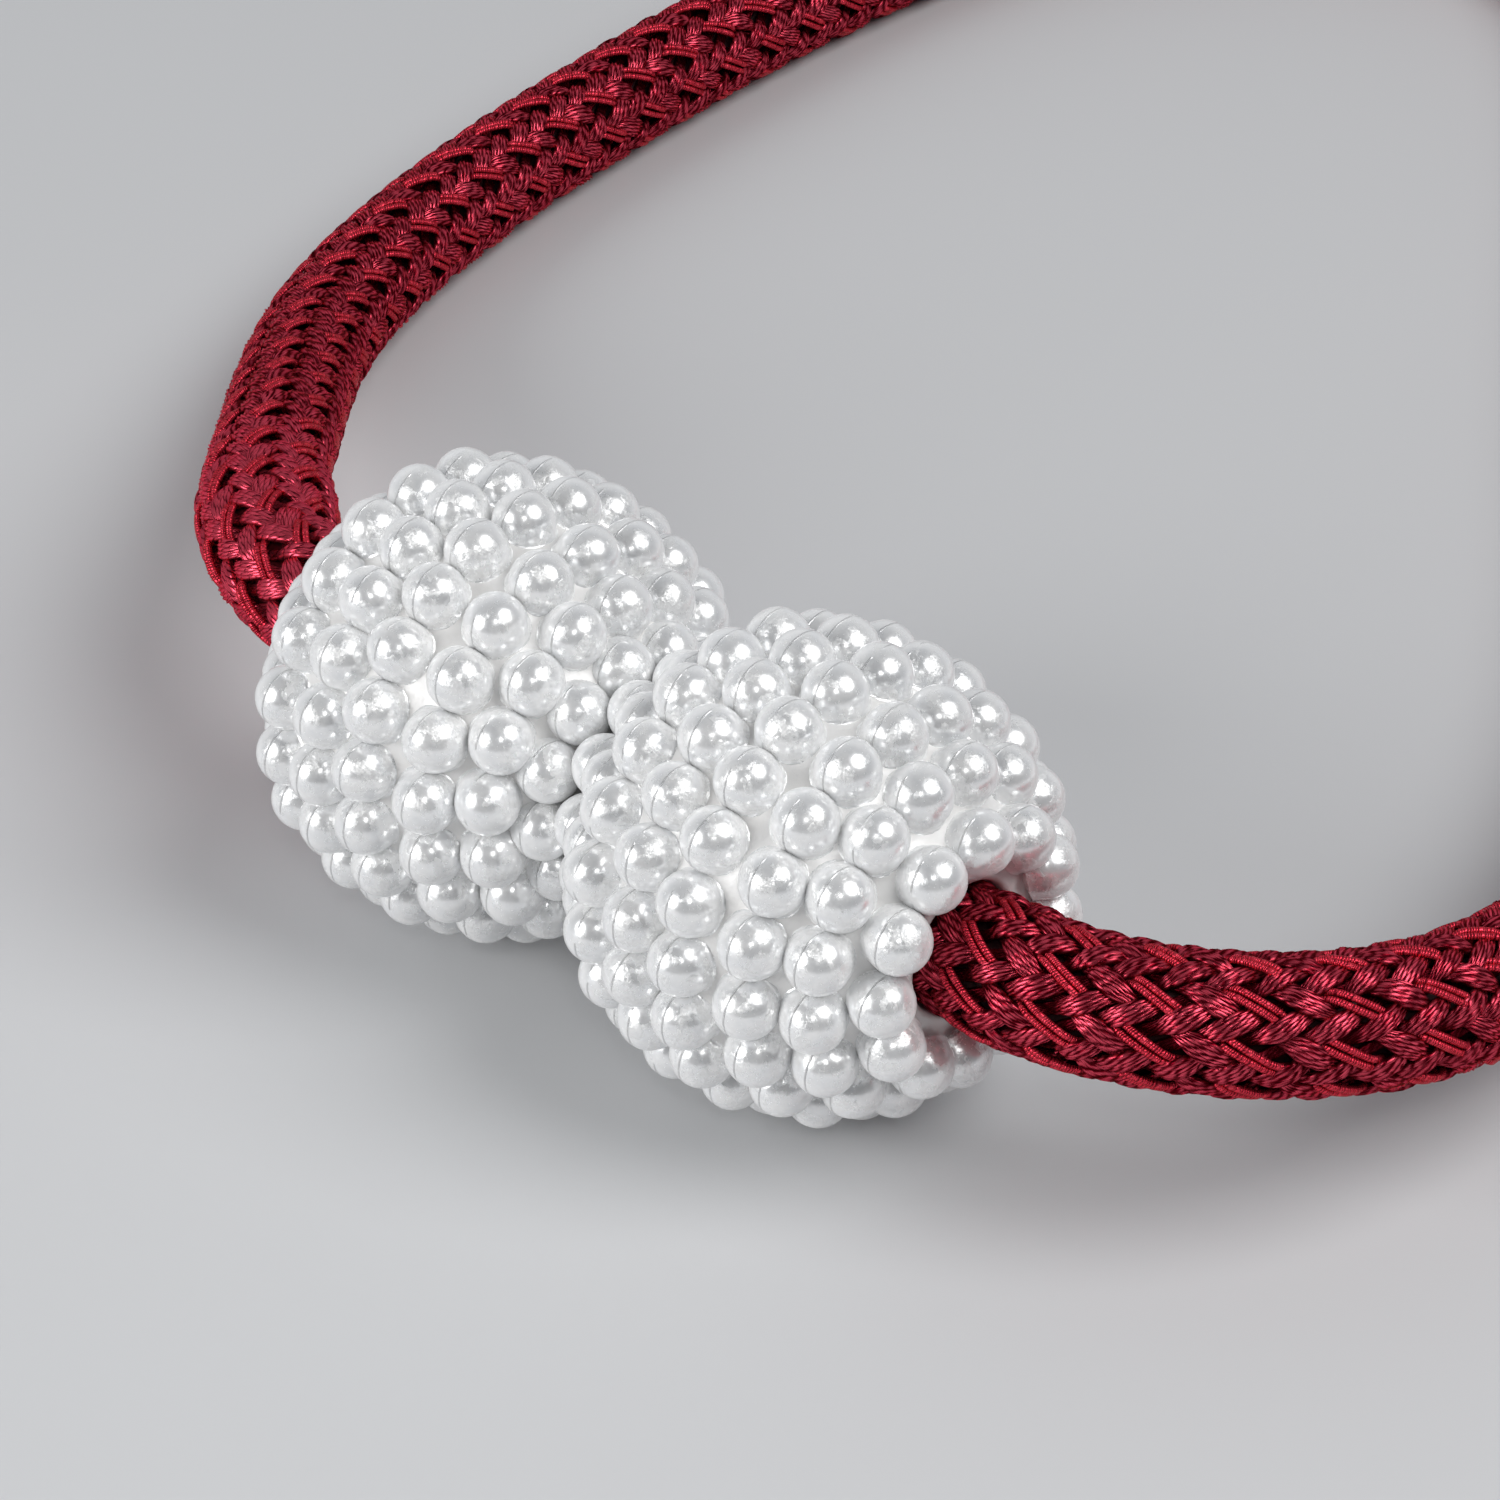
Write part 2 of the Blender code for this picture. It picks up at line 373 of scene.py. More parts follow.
def silk_ring(yarns, fine):
    """One ring of a silk bundle: the yarns show as lobes on its outer side.
    Gives place across (-1..1), height factor, lobe height, u, its full turn
    and how near the side it is."""
    if fine:
        top = 2 * yarns + 1
        a = np.linspace(-1.0, 1.0, top)
        lobe = np.where(np.arange(top) % 2 == 1, 1.0, 0.0)
        u_top = np.linspace(0.0, yarns, top)
        low = np.array([0.62, 0.0, -0.62])
    else:
        top = 6
        a = np.linspace(-1.0, 1.0, top)
        lobe = np.full(top, 0.6)
        lobe[0] = lobe[-1] = 0.0
        u_top = np.linspace(0.0, yarns, top)
        low = np.array([0.6, -0.6])
    h_top = np.sqrt(np.maximum(0.0, 1.0 - np.abs(a) ** 2.6))
    h_low = -np.sqrt(1.0 - np.abs(low) ** 2.6) * 0.9
    across = np.concatenate([a, low])
    rise = np.concatenate([h_top, h_low])
    lobes = np.concatenate([lobe, np.zeros(len(low))])
    u_low = yarns + (yarns * 0.8) * (np.arange(len(low)) + 1.0) / (len(low) + 1.0)
    edge = np.concatenate([np.abs(a) ** 3, np.ones(len(low))])
    return across, rise, lobes, np.concatenate([u_top, u_low]), yarns * 1.8, edge


def cord_spans():
    """The stretches of the cord, (start, end, seen), along its length."""
    seen = seen_fraction(cord_line.points) < 1.05
    spans, start = [], 0
    for k in range(1, len(seen) + 1):
        if k == len(seen) or seen[k] != seen[start]:
            spans.append((cord_line.s[start], cord_line.s[min(k, len(seen) - 1)], bool(seen[start])))
            start = k
    return spans


SPANS = cord_spans()


def braid_silk(name, turning, which, seed, width_over, width_under, yarns, cut=0.0):
    """Silk bundles: turning is +1 or -1, which are their numbers.  cut makes
    their floats end early, in crossings, where they dive beside a gimp pair."""
    rng = np.random.default_rng(seed)
    sweep = Sweep(name)
    for i in which:
        phase_jitter = rng.normal(0.0, 0.05)
        width_jitter = 1.0 + rng.normal(0.0, 0.04)
        rand = float(rng.uniform())
        seeds = rng.integers(0, 2 ** 31, 6)
        for start, end, fine in SPANS:
            step = (CROSSING * 4.0 / 13.0) if fine else (CROSSING * 4.0 / 8.0)
            s = np.linspace(start, end, max(2, int(round((end - start) / step)) + 1))
            r = [np.random.default_rng(int(k)) for k in seeds]
            u = s / CROSSING + BRAID_SHIFT + phase_jitter + wander(r[0], s, 0.10, 31 * MM)
            phase = u + 2 * i - 0.5 if turning > 0 else u - 2 * i + 2.5
            phase = np.mod(phase + 2.0, 4.0) - 2.0
            phase = phase + cut * np.sin(0.5 * math.pi * np.maximum(phase, 0.0))
            high = over_under(phase)
            angle = (BRAID_TURN + TAU * i / CARRIERS + turning * LEAN * s / OUT_R
                     + wander(r[1], s, 0.016, 17 * MM))
            lift = 0.5 + 0.5 * high
            swell = cord_swell(s, angle)
            radius = (MID_R + LIFT * high + wander(r[2], s, 0.035 * MM, 9 * MM)) * swell
            centre, along, out, side = strand_frame(s, angle, radius)
            belly = 0.35 * lift + 0.65 * np.maximum(0.0, np.cos(TAU * phase / 4.0))
            half_w = 0.5 * (width_under + (width_over - width_under) * belly) * width_jitter
            half_w = half_w * (1.0 + wander(r[3], s, 0.05, 8 * MM))
            half_t = SILK_HALF * (0.84 + 0.24 * belly)
            a, rise, lobes, u_ring, seam_u, edge = silk_ring(yarns, fine)
            tilt = wander(r[4], s, 0.10, 12 * MM)
            # the bundle is slightly twisted, so its yarns slant across each float
            slip = 0.20 * np.sin(TAU * phase / 4.0) + wander(r[5], s, 0.04, 6 * MM)
            a_here = a[None, :] + slip[:, None] * (1.0 - a[None, :] ** 2)
            rise_by = np.broadcast_to(lobes[None, :] * YARN_RISE, a_here.shape).copy()
            if fine:
                for k in np.nonzero(lobes > 0.5)[0]:
                    a_here[:, k] += wander(r[5], s, 0.045, 5 * MM)
                    rise_by[:, k] += wander(r[5], s, 0.035 * MM, 4 * MM)
            across = a_here * half_w[:, None]
            high_here = rise[None, :] * half_t[:, None] + rise_by
            high_here = high_here + across * np.sin(tilt)[:, None]
            v = np.concatenate([[0.0], np.cumsum(np.linalg.norm(np.diff(centre, axis=0), axis=1))]) / MM
            sweep.add(centre, out, side, across, high_here, u_ring[None, :],
                      v + start / MM * 1.2, rand, high, edge[None, :], bend_painted_light(s))
    obj = sweep.finish(seam_u)
    return obj


def braid_gimp(name, turning, which, seed):
    """Pairs of hard-wrapped gimp cords that lie side by side."""
    rng = np.random.default_rng(seed)
    sweep = Sweep(name)
    for i in which:
        phase_jitter = rng.normal(0.0, 0.05)
        seeds = rng.integers(0, 2 ** 31, 4)
        for half in (-1, 1):
            rand = float(rng.uniform())
            pair_seed = int(rng.integers(0, 2 ** 31))
            for start, end, fine in SPANS:
                step = (CROSSING * 4.0 / 14.0) if fine else (CROSSING * 4.0 / 7.0)
                s = np.linspace(start, end, max(2, int(round((end - start) / step)) + 1))
                r = [np.random.default_rng(int(k)) for k in seeds]
                own = np.random.default_rng(pair_seed)
                u = s / CROSSING + BRAID_SHIFT + phase_jitter + wander(r[0], s, 0.10, 31 * MM)
                high = over_under(u + 2 * i - 0.5, bias=0.56, square=1.5)
                lift = 0.5 + 0.5 * high
                gap = (0.30 + 0.03 * lift) * MM + wander(own, s, 0.04 * MM, 7 * MM)
                angle = (BRAID_TURN + TAU * i / CARRIERS + turning * LEAN * s / OUT_R
                         + wander(r[1], s, 0.016, 17 * MM))
                swell = cord_swell(s, angle)
                radius = (MID_R + LIFT * 1.22 * high + 0.15 * MM
                          + wander(own, s, 0.05 * MM, 8 * MM)) * swell
                centre, along, out, side = strand_frame(s, angle, radius)
                centre = centre + side * (half * gap + GIMP_SHIFT)[:, None]
                points = 7 if fine else 4
                turn = TAU * np.arange(points) / points
                radius_here = 0.5 * GIMP_D
                across = np.broadcast_to(np.cos(-turn) * radius_here, (len(s), points))
                rise = np.broadcast_to(np.sin(-turn) * radius_here, (len(s), points))
                v = np.concatenate([[0.0], np.cumsum(np.linalg.norm(np.diff(centre, axis=0), axis=1))]) / MM
                sweep.add(centre, out, side, across, rise,
                          (np.arange(points) / points)[None, :],
                          v + start / MM * 1.2, rand, high, painted_bend_light=bend_painted_light(s))
    return sweep.finish(1.0)


def cord_core():
    """The inside of the hollow braid, coloured near black as painted shade."""
    s = np.linspace(0.0, cord_line.length, 330)
    points = 20
    p, n, b = cord_line.at(s)
    turn = TAU * np.arange(points) / points
    rough = np.random.default_rng(5).normal(0.0, 0.02 * MM, (len(s), points))
    radius = CORE_R * np.stack([cord_swell(s, np.full(len(s), a)) for a in turn], axis=1) + rough
    sweep = Sweep("cord_inside")
    sweep.add(p, n, b, np.cos(-turn)[None, :] * radius * -1.0, np.sin(-turn)[None, :] * radius,
              (np.arange(points) / points)[None, :], s / MM, 0.5, np.zeros(len(s)), painted_bend_light=bend_painted_light(s))
    return sweep.finish(1.0)


def outward(obj):
    """Turns a mesh's faces out if its volume comes out negative."""
    mesh = obj.data
    mesh.calc_loop_triangles()
    n = len(mesh.loop_triangles)
    tri = np.zeros(3 * n, dtype=np.int32)
    mesh.loop_triangles.foreach_get("vertices", tri)
    co = np.zeros(3 * len(mesh.vertices), dtype=np.float32)
    mesh.vertices.foreach_get("co", co)
    co = co.reshape(-1, 3).astype(float)
    co = co - co.mean(axis=0)
    t = co[tri.reshape(-1, 3)]
    volume = np.sum(np.cross(t[:, 0], t[:, 1]) * t[:, 2]) / 6.0
    if volume < 0:
        mesh.flip_normals()
    return obj


core = outward(cord_core())
silk_a = outward(braid_silk("braid_silk_one_way", 1, range(0, CARRIERS, 2), 11,
                            1.98 * MM, 0.98 * MM, 6))
silk_b1 = outward(braid_silk("braid_silk_other_way_a", -1, range(0, CARRIERS, 2), 12,
                             1.86 * MM, 1.04 * MM, 5, cut=0.30))
silk_b2 = outward(braid_silk("braid_silk_other_way_b", -1, range(1, CARRIERS, 2), 13,
                             1.86 * MM, 1.04 * MM, 5))
gimp = outward(braid_gimp("braid_gimp", 1, range(1, CARRIERS, 2), 14))


# ================================================================= balls ====

BEAD_R = 2.53 * MM
BODY_R, BODY_LONG_R = 16.22 * MM, 17.65 * MM
FOOT_FROM = 93.0                # degrees from a bead's top to where its foot starts
FOOT_SPREAD = 0.42 * MM         # how far the foot spreads past the bead
HOLE_R = 5.30 * MM

# Rings of beads about each ball's axis.  "along" is the ring's place from the
# waist towards +X, "start" the first bead's turn about +X in degrees, and
# "sway" how unevenly the beads are spaced round it.
LEFT_RINGS = (
    # along   radius  beads  start  sway
    (14.50,   9.50,   12,    95.0,  0.0),
    (11.82,  12.70,   16,    81.7,  0.0),
    (7.68,  15.18,   19,    80.5,  0.0),
    (2.36,  16.57,   21,    69.2,  0.0),
    (-2.36,  16.57,   21,    77.9,  0.0),
    (-7.68,  15.18,   19,    72.4,  0.0),
    (-10.93,  11.56,   15,    95.8,  0.0),
    (-13.80,   8.20,   10,    100.5,  0.0),
)
RIGHT_RINGS = (
    (15.55,   9.20,   12,    20.8,  4.2),
    (11.82,  12.70,   16,    73.8,  0.0),
    (7.68,  15.18,   19,    88.7,  0.0),
    (2.36,  16.57,   21,    90.8,  0.0),
    (-2.36,  16.57,   21,    85.3,  0.0),
    (-7.68,  15.18,   19,    73.0,  0.0),
    (-11.13,  11.89,   15,    95.8,  0.0),
    (-14.40,   9.30,   12,    111.2,  0.0),
)


def bead_places(cx, rings):
    """Bead centres, their outward directions and how far their feet spread."""
    centres, outs, feet = [], [], []
    for along, radius, count, start, sway in rings:
        for k in range(count):
            even = TAU * k / count
            turn = math.radians(start + sway * (1.0 - math.cos(even + 0.2))) + even
            y, z = radius * math.cos(turn), radius * math.sin(turn)
            centres.append((cx + along * MM, y * MM, AXIS_Z + z * MM))
            outs.append((along / 18.1 ** 2, y / 16.7 ** 2, z / 16.7 ** 2))
            feet.append(0.15 if radius < 10.0 else 1.0)
    return np.array(centres), unit(np.array(outs)), np.array(feet)


def settle(centres, outs, rng):
    """Each bead sits a hair off its exact place."""
    return centres + rng.normal(0.0, 0.045 * MM, centres.shape) + outs * rng.normal(
        0.0, 0.03 * MM, (len(centres), 1))


def body_level(points):
    """How far points are outside the moulded body, along its own slope."""
    scaled = points / np.array([BODY_LONG_R, BODY_R, BODY_R])
    size = np.linalg.norm(scaled, axis=-1)
    slope = np.linalg.norm(scaled / np.array([BODY_LONG_R, BODY_R, BODY_R]), axis=-1) / size
    return (size - 1.0) / slope


def beads(name, cx, rings_of_beads, seed):
    """Domes that run into the body over a hollow foot, all in one mesh."""
    rng = np.random.default_rng(seed)
    centres, outs, feet = bead_places(cx, rings_of_beads)
    centres = settle(centres, outs, rng)
    waist = np.array([cx, 0.0, AXIS_Z])
    segments, dome, foot = 26, 9, 4
    polar = np.radians(np.linspace(0.0, FOOT_FROM, dome + 1))[1:]
    turn = TAU * np.arange(segments) / segments
    circle = np.stack([np.cos(turn), np.sin(turn)], axis=1)
    rings = dome + foot
    tris, quads = [], []
    for k in range(segments):
        n = (k + 1) % segments
        tris.append((0, 1 + k, 1 + n))
        for r in range(rings - 1):
            a = 1 + r * segments
            quads.append((a + k, a + segments + k, a + segments + n, a + n))
        a = 1 + (rings - 1) * segments
        tris.append((a + n, a + k, 1 + rings * segments))
    tris, quads = np.array(tris), np.array(quads)
    verts, all_tris, all_quads, where, ids = [], [], [], [], []
    for c, o, wide in zip(centres, outs, feet):
        x_axis = np.cross(o, (0.3, 0.9, 0.1))
        x_axis = x_axis / np.linalg.norm(x_axis)
        y_axis = np.cross(o, x_axis)
        across = circle @ np.stack([x_axis, y_axis])
        radius = BEAD_R * (1.0 + rng.normal(0.0, 0.006))
        # moulded beads aren't quite round
        skew = unit(rng.normal(size=3))
        rows = [o[None, :]]
        for p in polar:
            rows.append(across * math.sin(p) + o * math.cos(p))
        dome_dir = np.concatenate(rows)
        dome_pos = c + dome_dir * (radius * (1.0 + 0.012 * (dome_dir @ skew) ** 2))[:, None]
        # the foot: from the dome's last ring down to the body, all round
        last = dome_pos[-segments:]
        spread = wide * FOOT_SPREAD * (1.0 + 0.10 * np.cos(turn + rng.uniform(0.0, TAU)) + rng.normal(0.0, 0.03))
        base = c + across * (radius + spread)[:, None]
        for _ in range(5):
            base = base - o * body_level(base - waist)[:, None]
        base = base - o * 0.05 * MM
        down = unit(across * math.cos(polar[-1]) - o * math.sin(polar[-1]))
        drop = np.maximum(np.sum((last - base) * o, axis=1), 0.05 * MM)
        knee = last + down * (0.88 * drop / math.sin(polar[-1]))[:, None]
        foot_rows = []
        for k in range(1, foot + 1):
            f = k / foot
            foot_rows.append(last * (1 - f) ** 2 + knee * 2 * f * (1 - f) + base * f ** 2)
        under = c - o * 0.9 * radius
        at = len(verts) * (2 + rings * segments)
        pos = np.concatenate([dome_pos, *foot_rows, under[None, :]])
        verts.append(pos)
        all_tris.append(tris + at)
        all_quads.append(quads + at)
        tilt = rng.normal(0.0, 0.05, 3)
        own = (pos - c) / radius
        where.append(own + np.cross(tilt, own))
        ids.append(np.full(len(pos), rng.uniform()))
    verts = np.concatenate(verts)
    verts[:, 2] = np.maximum(verts[:, 2], 0.0)
    obj = new_object(name, verts, quads=np.concatenate(all_quads), tris=np.concatenate(all_tris))
    add_values(obj, "on_bead", np.concatenate(where), "FLOAT_VECTOR")
    add_values(obj, "bead_number", np.concatenate(ids))
    return outward(obj), centres


def body_profile(mouth, contact):
    """Half section of the moulded body, from the hole's bottom over the
    outside to the middle of the contact end: (along the axis, radius).
    mouth and contact are how far those two ends are from the waist."""
    deep = 11.8 * MM
    pts = [(deep, 0.0), (deep, 0.6 * HOLE_R), (deep, HOLE_R), (0.5 * (deep + mouth), HOLE_R),
           (mouth - 0.45 * MM, HOLE_R + 0.02 * MM), (mouth - 0.12 * MM, HOLE_R + 0.20 * MM),
           (mouth, HOLE_R + 0.6 * MM)]
    a0 = math.asin((mouth - 0.25 * MM) / BODY_LONG_R)
    a1 = -math.asin((contact - 0.25 * MM) / BODY_LONG_R)
    for k in range(72):
        a = a0 + (a1 - a0) * k / 71
        pts.append((BODY_LONG_R * math.sin(a), BODY_R * math.cos(a)))
    rim = BODY_R * math.cos(a1)
    pts += [(-contact, rim * f) for f in (0.9, 0.6, 0.3, 0.0)]
    return np.array(pts)


def body(name, cx, facing, mouth, contact, centres, seed):
    """facing is +1 when the hole looks along +X."""
    rng = np.random.default_rng(seed)
    profile = body_profile(mouth, contact)
    segments = 160
    turn = TAU * np.arange(segments) / segments
    rows = []
    for x, r in profile[1:-1]:
        rows.append(np.stack([np.full(segments, facing * x), r * np.cos(turn), r * np.sin(turn)], axis=1))
    inner = np.array([[facing * profile[0, 0], 0.0, 0.0]])
    outer = np.array([[facing * profile[-1, 0], 0.0, 0.0]])
    verts = np.concatenate([inner, *rows, outer])
    verts = verts + np.array([cx, 0.0, AXIS_Z])
    # run-together plastic where beads stand close
    rel = verts - np.array([cx, 0.0, AXIS_Z])
    direction = unit(rel / np.array([BODY_LONG_R, BODY_R, BODY_R]) ** 2)
    radial = np.hypot(rel[:, 1], rel[:, 2])
    gap = np.sort(np.linalg.norm(verts[:, None, :] - centres[None, :, :], axis=2), axis=1)
    near = gap[:, 0] - BEAD_R
    second = gap[:, 1] - BEAD_R
    raise_by = 0.30 * MM * np.exp(-np.maximum(near + second, 0.0) / (0.45 * MM))
    raise_by += rng.normal(0.0, 0.008 * MM, len(verts))
    on_side = (radial > HOLE_R + 0.6 * MM)
    verts = verts + direction * (raise_by * on_side)[:, None]
    quads, tris = [], []
    n_rows = len(rows)
    for k in range(segments):
        n = (k + 1) % segments
        tris.append((0, 1 + n, 1 + k))
        for r in range(n_rows - 1):
            a = 1 + r * segments
            quads.append((a + k, a + n, a + segments + n, a + segments + k))
        a = 1 + (n_rows - 1) * segments
        tris.append((a + k, a + n, 1 + n_rows * segments))
    return outward(new_object(name, verts, quads=quads, tris=tris))


beads_left, centres_left = beads("pearl_beads_left", LEFT_X, LEFT_RINGS, 21)
beads_right, centres_right = beads("pearl_beads_right", RIGHT_X, RIGHT_RINGS, 22)
body_left = body("ball_body_left", LEFT_X, -1, 14.4 * MM, 15.3 * MM, centres_left, 31)
body_right = body("ball_body_right", RIGHT_X, 1, 15.2 * MM, 15.3 * MM, centres_right, 32)


# ============================================================ materials =====

class Nodes:
    """A short way to write node trees."""

    def __init__(self, name):
        self.mat = bpy.data.materials.new(name)
        self.mat.use_nodes = True
        self.tree = self.mat.node_tree
        self.bsdf = self.tree.nodes["Principled BSDF"]

    def put(self, socket, value):
        if isinstance(value, bpy.types.NodeSocket):
            self.tree.links.new(value, socket)
        else:
            socket.default_value = value

    def node(self, kind, inputs=None, **settings):
        node = self.tree.nodes.new(kind)
        for key, value in settings.items():
            setattr(node, key, value)
        for key, value in (inputs or {}).items():
            self.put(node.inputs[key], value)
        return node

    def math(self, op, a, b=0.0, c=0.0, clamp=False):
        node = self.node("ShaderNodeMath", {0: a, 1: b, 2: c}, operation=op, use_clamp=clamp)
        return node.outputs[0]

    def vmath(self, op, a, b=(0.0, 0.0, 0.0), scale=None):
        node = self.node("ShaderNodeVectorMath", {0: a, 1: b}, operation=op)
        if scale is not None:
            self.put(node.inputs["Scale"], scale)
        return node.outputs["Value"] if op in ("LENGTH", "DOT_PRODUCT", "DISTANCE") else node.outputs["Vector"]

    def attribute(self, name):
        return self.node("ShaderNodeAttribute", attribute_name=name)

    def noise(self, vector, scale, detail=3.0, rough=0.55, distort=0.0, dims="3D", w=None):
        node = self.node("ShaderNodeTexNoise", noise_dimensions=dims)
        if vector is not None:
            self.put(node.inputs["Vector"], vector)
        self.put(node.inputs["Scale"], scale)
        self.put(node.inputs["Detail"], detail)
        self.put(node.inputs["Roughness"], rough)
        self.put(node.inputs["Distortion"], distort)
        if w is not None:
            self.put(node.inputs["W"], w)
        return node.outputs[0]

    def voronoi(self, vector, scale, feature="F1", rand=1.0):
        node = self.node("ShaderNodeTexVoronoi", {"Vector": vector, "Scale": scale, "Randomness": rand},
                         feature=feature)
        return node.outputs["Distance"]

    def between(self, value, low, high, out_low=0.0, out_high=1.0, smooth=True):
        node = self.node("ShaderNodeMapRange", {"Value": value, "From Min": low, "From Max": high,
                                                "To Min": out_low, "To Max": out_high},
                         interpolation_type="SMOOTHSTEP" if smooth else "LINEAR")
        return node.outputs["Result"]

    def mix(self, factor, a, b, blend="MIX"):
        node = self.node("ShaderNodeMix", data_type="RGBA", blend_type=blend)
        self.put(node.inputs[0], factor)
        self.put(node.inputs[6], a)
        self.put(node.inputs[7], b)
        return node.outputs[2]

    def bump(self, height, strength, distance, normal=None):
        node = self.node("ShaderNodeBump", {"Height": height, "Strength": strength, "Distance": distance})
        if normal is not None:
            self.put(node.inputs["Normal"], normal)
        return node.outputs["Normal"]

    def set(self, **values):
        for key, value in values.items():
            self.put(self.bsdf.inputs[key.replace("_", " ")], value)


def rgb(r, g, b):
    return (r, g, b, 1.0)


def silk_material():
    m = Nodes("silk_bundles")
    uv = m.node("ShaderNodeUVMap", uv_map="yarn").outputs[0]
    parts = m.node("ShaderNodeSeparateXYZ", {0: uv})
    u, v = parts.outputs[0], parts.outputs[1]
    strand = m.attribute("strand").outputs["Fac"]
    high = m.attribute("float_high").outputs["Fac"]
    yarn = m.math("FLOOR", u)
    in_yarn = m.math("FRACT", u)
    number = m.math("ADD", m.math("MULTIPLY", strand, 37.0), m.math("MULTIPLY", yarn, 1.37))
    # two plies twisted together: slanting ridges on every yarn
    own = m.node("ShaderNodeTexWhiteNoise", {"W": number}, noise_dimensions="1D").outputs["Value"]
    slow = m.noise(None, 0.9, 2.0, dims="1D", w=m.math("ADD", m.math("MULTIPLY", v, 0.35), m.math("MULTIPLY", number, 9.1)))
    twist = m.math("ADD", m.math("MULTIPLY", v, 1.05), m.math("MULTIPLY", in_yarn, 0.95))
    twist = m.math("ADD", twist, m.math("ADD", own, m.math("MULTIPLY", slow, 1.6)))
    ply = m.math("ABSOLUTE", m.math("SINE", m.math("MULTIPLY", twist, math.pi)))
    # fine filaments along the plies
    stretched = m.node("ShaderNodeCombineXYZ", {0: m.math("ADD", m.math("MULTIPLY", u, 9.0), m.math("MULTIPLY", v, 1.4)),
                                                1: m.math("MULTIPLY", v, 0.8), 2: number}).outputs[0]
    filament = m.noise(stretched, 1.0, 2.0, 0.6)
    groove = m.math("POWER", m.math("ABSOLUTE", m.math("SUBTRACT", m.math("MULTIPLY", in_yarn, 2.0), 1.0)), 3.0)
    # painted shade and painted highlight: the plies' hollows are painted dark and their crests get the highlight colour
    # light; the filament noise adds random tone
    shade = m.math("ADD", m.math("MULTIPLY", ply, 0.68), m.math("MULTIPLY", filament, 0.32))
    edge = m.attribute("strand_edge").outputs["Fac"]
    dark = rgb(0.055, 0.0004, 0.0030)
    mid = rgb(0.225, 0.0030, 0.0120)
    light = rgb(0.950, 0.1000, 0.1600)
    # painted light: by the left ball the silk is painted lighter and more of it gets the painted highlight colour
    painted_bend_light = m.attribute("bend_painted_light").outputs["Fac"]
    mid = m.mix(painted_bend_light, mid, rgb(0.540, 0.0200, 0.0480))
    colour = m.mix(m.between(shade, 0.16, 0.70), dark, mid)
    shine = m.math("ADD", m.math("ADD", shade, m.math("MULTIPLY", own, 0.20)), m.math("MULTIPLY", painted_bend_light, 0.32))
    colour = m.mix(m.between(shine, 0.60, 0.98), colour, light)
    # painted shade in the grooves between yarns
    colour = m.mix(m.math("MULTIPLY", groove, 0.70), colour, dark)
    # painted shade: bundles are painted dark where they pass under others and down their sides, less so by the left
    # ball
    less_painted_shade_at_bend = m.math("SUBTRACT", 1.0, m.math("MULTIPLY", painted_bend_light, 0.50))
    colour = m.mix(m.math("MULTIPLY", m.between(high, 0.45, -0.65, 0.0, 0.93), less_painted_shade_at_bend), colour, dark)
    colour = m.mix(m.math("MULTIPLY", m.math("MULTIPLY", edge, 0.70), less_painted_shade_at_bend), colour, dark)
    m.set(Base_Color=colour)
    m.set(Roughness=m.between(filament, 0.25, 0.75, 0.21, 0.33, smooth=False))
    m.set(Metallic=0.78)
    m.bsdf.inputs["Anisotropic"].default_value = 0.55
    m.bsdf.inputs["Specular IOR Level"].default_value = 0.12
    m.bsdf.inputs["Specular Tint"].default_value = rgb(1.0, 0.19, 0.27)
    m.put(m.bsdf.inputs["Tangent"], m.node("ShaderNodeTangent", direction_type="UV_MAP", uv_map="yarn").outputs[0])
    height = m.math("ADD", m.math("MULTIPLY", ply, 0.85), m.math("MULTIPLY", filament, 0.18))
    height = m.math("SUBTRACT", height, m.math("MULTIPLY", groove, 0.55))
    m.set(Normal=m.bump(height, 1.0, 0.045 * MM))
    return m.mat


def gimp_material():
    m = Nodes("gimp_wrap")
    uv = m.node("ShaderNodeUVMap", uv_map="yarn").outputs[0]
    parts = m.node("ShaderNodeSeparateXYZ", {0: uv})
    u, v = parts.outputs[0], parts.outputs[1]
    strand = m.attribute("strand").outputs["Fac"]
    high = m.attribute("float_high").outputs["Fac"]
    uneven = m.noise(None, 1.0, 2.0, dims="1D", w=m.math("ADD", m.math("MULTIPLY", v, 1.3), m.math("MULTIPLY", strand, 61.0)))
    wrap = m.math("ADD", m.math("MULTIPLY", v, 4.6), m.math("ADD", u, m.math("MULTIPLY", uneven, 2.6)))
    ridge = m.math("ABSOLUTE", m.math("SINE", m.math("MULTIPLY", wrap, math.pi)))
    # painted highlight and painted shade: the wraps' crests are painted bright and the hollows between them dark
    colour = m.mix(m.between(ridge, 0.15, 0.9), rgb(0.140, 0.0032, 0.0105), rgb(0.760, 0.0420, 0.0740))
    colour = m.mix(m.between(uneven, 0.45, 0.75, 0.0, 0.6), colour, rgb(0.86, 0.070, 0.110))
    # painted shade where a gimp passes under other strands
    colour = m.mix(m.between(high, 0.2, -0.9, 0.0, 0.9), colour, rgb(0.05, 0.0004, 0.003))
    m.set(Base_Color=colour, Roughness=m.between(uneven, 0.3, 0.7, 0.18, 0.28, smooth=False))
    m.set(Metallic=0.66)
    m.bsdf.inputs["Specular Tint"].default_value = rgb(1.0, 0.13, 0.17)
    m.set(Normal=m.bump(ridge, 1.0, 0.045 * MM))
    return m.mat


